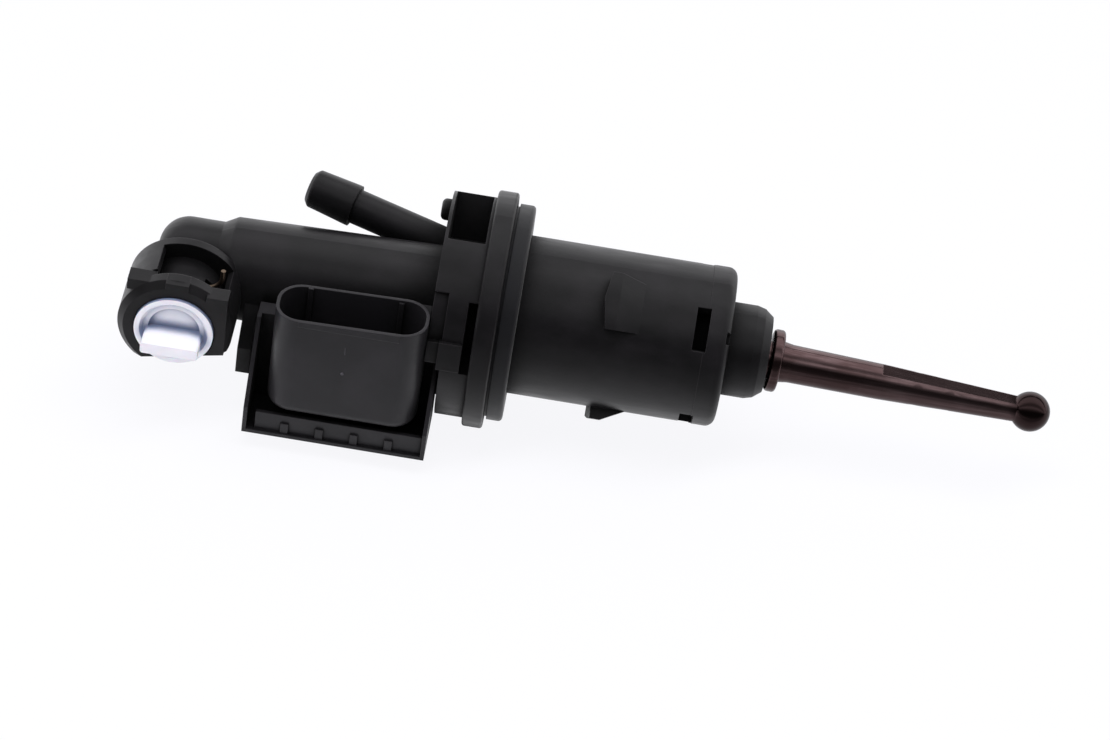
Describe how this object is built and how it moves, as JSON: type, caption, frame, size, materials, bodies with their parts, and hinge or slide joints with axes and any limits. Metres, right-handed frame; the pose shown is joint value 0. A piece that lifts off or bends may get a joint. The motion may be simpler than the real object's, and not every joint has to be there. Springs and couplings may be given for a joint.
{
  "type": "clutch master cylinder",
  "caption": "Hydraulic clutch master cylinder with a ball-ended push rod, bayonet guide sleeve, plug-in position sensor, hose nipple and sideways outlet with a blanking plug.",
  "frame": {"origin": "on the cylinder axis, in the front face of the mounting flange", "axes": "+X along the cylinder axis towards the push rod, -Y the way the outlet faces, +Z the way the sensor socket opens"},
  "size_m": [0.2294, 0.0633, 0.0588],
  "materials": {
    "body_plastic": "moulded glass-filled nylon, satin black",
    "sleeve_plastic": "moulded glass-filled nylon, satin black",
    "gasket_rubber": "moulded rubber, bluish black",
    "ring_plastic": "moulded nylon, black",
    "seal_rubber": "moulded rubber, smooth",
    "piston_plastic": "moulded thermoset, smooth black",
    "magnet_ferrite": "bonded ferrite, dark grey",
    "tail_plastic": "moulded nylon, black",
    "cup_plastic": "moulded acetal, natural",
    "rod_steel": "forged steel, browned and oiled",
    "spring_steel": "drawn spring wire",
    "clip_wire": "bent spring wire, pale",
    "plug_plastic": "moulded polyethylene, milky white",
    "sensor_plastic": "moulded glass-filled polyester, black",
    "pin_brass": "stamped, tinned at the tip",
    "board_laminate": "glass laminate, green lacquer",
    "chip_plastic": "moulded package, matt black"
  },
  "bodies": {
    "body": {"cylinder_body": "body_plastic", "guide_sleeve": "sleeve_plastic", "flange_gasket": "gasket_rubber", "stop_ring": "ring_plastic", "primary_seal": "seal_rubber", "seal_spacer": "ring_plastic", "secondary_seal": "seal_rubber", "guide_bush": "ring_plastic", "return_spring": "spring_steel", "outlet_cap": "body_plastic", "blanking_plug": "plug_plastic", "outlet_ring": "seal_rubber", "sensor_housing": "sensor_plastic", "sensor_pins": "pin_brass", "sensor_board": "board_laminate", "sensor_chips": "chip_plastic", "sensor_cover": "sensor_plastic"},
    "plunger": {"piston": "piston_plastic", "piston_magnet": "magnet_ferrite", "piston_tail": "tail_plastic"},
    "cup": {"ball_cup": "cup_plastic"},
    "rod": {"push_rod": "rod_steel"},
    "clip": {"outlet_clip": "clip_wire"}
  },
  "joints": [
    {"name": "plunger_stroke", "type": "slide", "parent": "body", "child": "plunger", "axis": [-1, 0, 0], "range_m": [0, 0.03], "stiffness_N_per_m": 700, "springref_m": -0.03, "deforming": ["return_spring"]},
    {"name": "cup_turn", "type": "hinge", "parent": "plunger", "child": "cup", "pos_m": [0.036, 0, 0], "axis": [1, 0, 0], "continuous": true},
    {"name": "rod_swing", "type": "hinge", "parent": "cup", "child": "rod", "pos_m": [0.036, 0, 0], "axis": [0, -1, 0], "range_deg": [0, 5.2]},
    {"name": "clip_slide", "type": "slide", "parent": "body", "child": "clip", "axis": [-1, 0, 0], "range_m": [0, 0.0025]}
  ]
}
